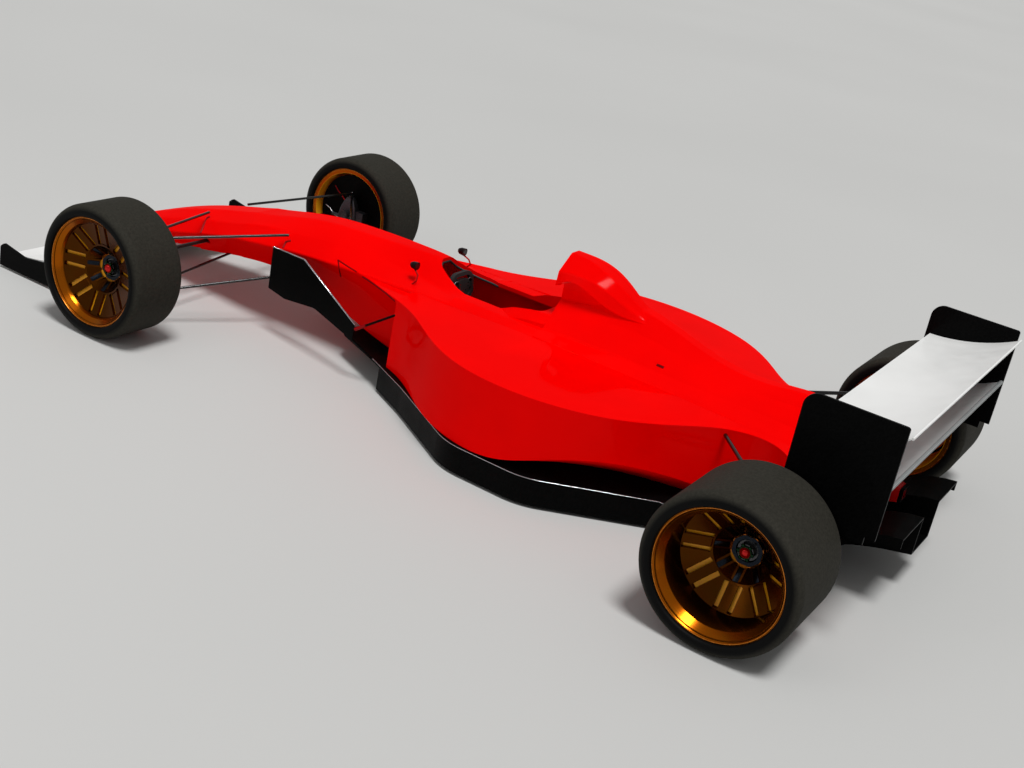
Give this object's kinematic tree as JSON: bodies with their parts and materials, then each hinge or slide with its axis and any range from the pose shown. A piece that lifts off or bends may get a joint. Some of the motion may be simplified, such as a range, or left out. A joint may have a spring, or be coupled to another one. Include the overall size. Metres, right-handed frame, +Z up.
{
  "type": "open wheel racing car",
  "caption": "Single seat open wheel racing car with front and rear wings, sidepods, slick tyres on gold wheels that roll, and linked steering.",
  "frame": {"origin": "on the ground under the middle of the car's footprint", "axes": "+X to the car's left, nose towards -Y, +Z up"},
  "size_m": [2.604, 4.83, 0.975],
  "materials": {
    "red_paint": "gloss red paint on moulded composite",
    "white_paint": "gloss white paint on moulded composite",
    "carbon": "black lacquered composite",
    "tyre_rubber": "slick racing rubber",
    "gold_alloy": "gold anodised forged alloy",
    "brake_steel": "machined steel",
    "upright_alloy": "machined alloy",
    "cast_alloy": "cast alloy",
    "tail_paint": "red paint on cast case",
    "radiator_alloy": "finned core",
    "lamp_red": "clear red lens",
    "grip_black": "moulded grip",
    "seat_shell": "moulded composite shell",
    "shaft_steel": "ground steel",
    "rod_black": "black lacquered steel tube"
  },
  "bodies": {
    "root": {"barge_board_left": "carbon", "barge_board_right": "carbon", "diffuser": "carbon", "engine": "cast_alloy", "engine_cover": "red_paint", "front_suspension_arms": "rod_black", "front_wing_endplate_left": "carbon", "front_wing_endplate_right": "carbon", "front_wing_planes": "white_paint", "gearbox": "tail_paint", "headrest_surround": "red_paint", "mirrors": "red_paint", "monocoque": "red_paint", "nose": "red_paint", "nose_pylons": "red_paint", "radiators": "radiator_alloy", "rear_light": "lamp_red", "rear_suspension_arms": "rod_black", "rear_uprights": "upright_alloy", "rear_wing_endplate_left": "carbon", "rear_wing_endplate_right": "carbon", "rear_wing_lower_plane": "white_paint", "rear_wing_upper_plane": "white_paint", "seat": "seat_shell", "sidepod_left": "red_paint", "sidepod_right": "red_paint", "underfloor": "carbon"},
    "knuckle_left": {"knuckle_left": "upright_alloy"},
    "wheel_front_left": {"tyre_front_left": "tyre_rubber", "rim_front_left": "gold_alloy", "hub_front_left": "brake_steel"},
    "wheel_rear_left": {"tyre_rear_left": "tyre_rubber", "rim_rear_left": "gold_alloy", "hub_rear_left": "brake_steel", "driveshaft_left": "shaft_steel"},
    "knuckle_right": {"knuckle_right": "upright_alloy"},
    "wheel_front_right": {"tyre_front_right": "tyre_rubber", "rim_front_right": "gold_alloy", "hub_front_right": "brake_steel"},
    "wheel_rear_right": {"tyre_rear_right": "tyre_rubber", "rim_rear_right": "gold_alloy", "hub_rear_right": "brake_steel", "driveshaft_right": "shaft_steel"},
    "steering_wheel": {"steering_wheel": "grip_black"},
    "track_rods": {"track_rods": "rod_black"}
  },
  "joints": [
    {"name": "steer_left", "type": "hinge", "parent": "root", "child": "knuckle_left", "pos_m": [0.865, -1.473, 0.3314], "axis": [0, 0, 1], "range_deg": [-15, 15]},
    {"name": "steer_right", "type": "hinge", "parent": "root", "child": "knuckle_right", "pos_m": [-0.865, -1.473, 0.3314], "axis": [0, 0, 1], "range_deg": [-15, 15]},
    {"name": "track_rods_slide", "type": "slide", "parent": "root", "child": "track_rods", "axis": [1, 0, 0], "range_m": [-0.0336, 0.0336]},
    {"name": "steering_wheel_turn", "type": "hinge", "parent": "root", "child": "steering_wheel", "pos_m": [0, -0.093, 0.51], "axis": [0, 0.9848, 0.1734], "range_deg": [-180, 180]},
    {"name": "wheel_front_left_spin", "type": "hinge", "parent": "knuckle_left", "child": "wheel_front_left", "pos_m": [0.996, -1.473, 0.3314], "axis": [1, 0, 0], "continuous": true},
    {"name": "wheel_front_right_spin", "type": "hinge", "parent": "knuckle_right", "child": "wheel_front_right", "pos_m": [-0.996, -1.473, 0.3314], "axis": [1, 0, 0], "continuous": true},
    {"name": "wheel_rear_left_spin", "type": "hinge", "parent": "root", "child": "wheel_rear_left", "pos_m": [1.074, 1.98, 0.33], "axis": [1, 0, 0], "continuous": true},
    {"name": "wheel_rear_right_spin", "type": "hinge", "parent": "root", "child": "wheel_rear_right", "pos_m": [-1.074, 1.98, 0.33], "axis": [1, 0, 0], "continuous": true}
  ],
  "couplings": [
    {"joint": "steer_right", "follows": "steer_left", "ratio": 1},
    {"joint": "track_rods_slide", "follows": "steer_left", "m_per_rad": 0.125},
    {"joint": "steering_wheel_turn", "follows": "steer_left", "ratio": 12}
  ]
}
